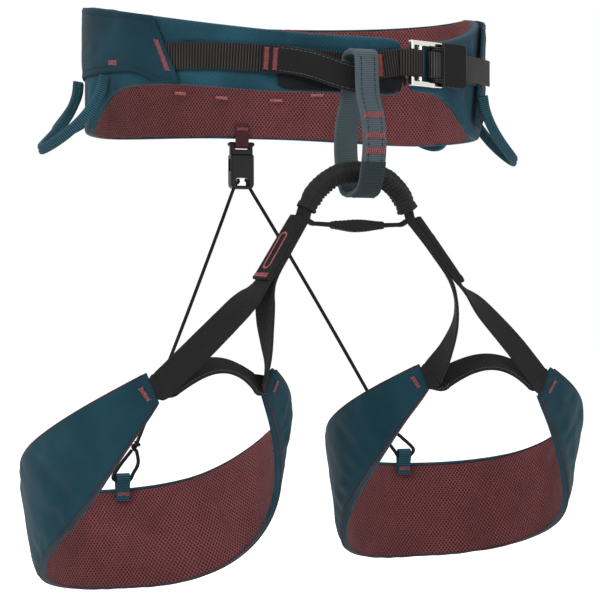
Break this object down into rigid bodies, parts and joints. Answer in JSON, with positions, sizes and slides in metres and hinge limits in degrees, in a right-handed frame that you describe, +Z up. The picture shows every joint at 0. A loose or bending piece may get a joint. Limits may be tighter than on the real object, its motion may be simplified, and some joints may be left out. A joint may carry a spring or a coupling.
{
  "type": "climbing harness",
  "caption": "Adjustable sit harness for climbing: padded waist belt with webbing buckle, belay loop, gear loops, padded leg loops and elastic rear risers with a drop buckle",
  "frame": {"origin": "middle of the waist opening, level with the waist webbing at the front", "axes": "+Z is up, the wearer faces -Y, and the wearer's right hip is towards -X"},
  "size_m": [0.4528, 0.2802, 0.4482],
  "materials": {
    "shell_fabric": "plain-woven polyester with a slight sheen, dark teal",
    "mesh_liner": "burgundy spacer mesh",
    "foam": "closed-cell foam, hidden",
    "black_webbing": "ribbed black polyamide webbing",
    "loop_webbing": "grey-teal tubular webbing with stitched layers",
    "teal_webbing": "ribbed teal strip",
    "buckle_silver": "polished aluminium",
    "buckle_black": "satin black anodised",
    "buckle_plastic": "moulded black acetal",
    "elastic_cord": "braided elastic cord"
  },
  "bodies": {
    "waist": {"waist_shell": "shell_fabric", "waist_core_web": "black_webbing", "waist_foam": "foam", "waist_liner": "mesh_liner", "side_panel_right": "shell_fabric", "side_panel_left": "shell_fabric", "waist_webbing": "black_webbing", "threaded_webbing": "black_webbing", "buckle_frame": "buckle_silver", "tie_in_loop": "black_webbing", "bridge_webbing": "black_webbing", "bridge_sleeve": "black_webbing", "bridge_keeper": "black_webbing", "riser_tab": "mesh_liner", "riser_plug": "buckle_plastic", "riser_prongs": "buckle_plastic"},
    "plate": {"buckle_plate": "buckle_black"},
    "belay": {"belay_loop": "loop_webbing"},
    "gear_front_right": {"gear_loop_front_right": "teal_webbing"},
    "gear_rear_right": {"gear_loop_rear_right": "teal_webbing"},
    "gear_front_left": {"gear_loop_front_left": "teal_webbing"},
    "gear_rear_left": {"gear_loop_rear_left": "teal_webbing"},
    "leg_right": {"leg_strap_outer_right": "black_webbing", "leg_strap_inner_right": "black_webbing", "leg_front_strap_right": "black_webbing", "leg_shell_right": "shell_fabric", "leg_core_web_right": "black_webbing", "leg_foam_right": "foam", "leg_liner_right": "mesh_liner", "leg_rear_tab_right": "teal_webbing"},
    "leg_left": {"leg_strap_outer_left": "black_webbing", "leg_strap_inner_left": "black_webbing", "leg_front_strap_left": "black_webbing", "leg_shell_left": "shell_fabric", "leg_core_web_left": "black_webbing", "leg_foam_left": "foam", "leg_liner_left": "mesh_liner", "leg_rear_tab_left": "teal_webbing"},
    "riser": {"riser_socket": "buckle_plastic", "riser_cord_right": "elastic_cord", "riser_cord_left": "elastic_cord"}
  },
  "joints": [
    {"name": "buckle_release_tilt", "type": "hinge", "parent": "waist", "child": "plate", "pos_m": [0.07236, -0.10654, 0.0035], "axis": [0, 0, -1], "range_deg": [0, 40]},
    {"name": "belay_loop_twist", "type": "hinge", "parent": "waist", "child": "belay", "pos_m": [0, -0.1362, -0.045], "axis": [0, 0, 1], "range_deg": [-8, 25]},
    {"name": "gear_loop_front_right_flex", "type": "hinge", "parent": "waist", "child": "gear_front_right", "pos_m": [-0.16253, -0.00521, -0.006], "axis": [-0.0601, 0.9982, 0], "range_deg": [-10, 45], "stiffness_Nm_per_rad": 0.02, "springref_deg": 0.52},
    {"name": "gear_loop_rear_right_flex", "type": "hinge", "parent": "waist", "child": "gear_rear_right", "pos_m": [-0.14025, 0.06027, -0.006], "axis": [0.6308, 0.776, 0], "range_deg": [-10, 45], "stiffness_Nm_per_rad": 0.02, "springref_deg": 0.52},
    {"name": "gear_loop_front_left_flex", "type": "hinge", "parent": "waist", "child": "gear_front_left", "pos_m": [0.1443, -0.03085, -0.0105], "axis": [-0.3063, -0.9469, -0.0974], "range_deg": [-5, 45], "stiffness_Nm_per_rad": 0.02, "springref_deg": 0.52},
    {"name": "gear_loop_rear_left_flex", "type": "hinge", "parent": "waist", "child": "gear_rear_left", "pos_m": [0.13669, 0.05384, -0.006], "axis": [0.575, -0.8181, 0], "range_deg": [-10, 45], "stiffness_Nm_per_rad": 0.02, "springref_deg": 0.52},
    {"name": "leg_right_swing", "type": "hinge", "parent": "waist", "child": "leg_right", "pos_m": [-0.042, -0.131, -0.11], "axis": [1, 0, 0], "range_deg": [-30, 12], "stiffness_Nm_per_rad": 0.6, "springref_deg": 6.02, "deforming": ["riser_cord_right"]},
    {"name": "leg_left_swing", "type": "hinge", "parent": "waist", "child": "leg_left", "pos_m": [0.042, -0.131, -0.11], "axis": [1, 0, 0], "range_deg": [-30, 12], "stiffness_Nm_per_rad": 0.6, "springref_deg": 6.02, "deforming": ["riser_cord_left"]},
    {"name": "riser_release_slide", "type": "slide", "parent": "waist", "child": "riser", "axis": [0, 0, -1], "range_m": [0, 0.02], "stiffness_N_per_m": 80, "deforming": ["riser_prongs", "riser_cord_right", "riser_cord_left"]}
  ]
}
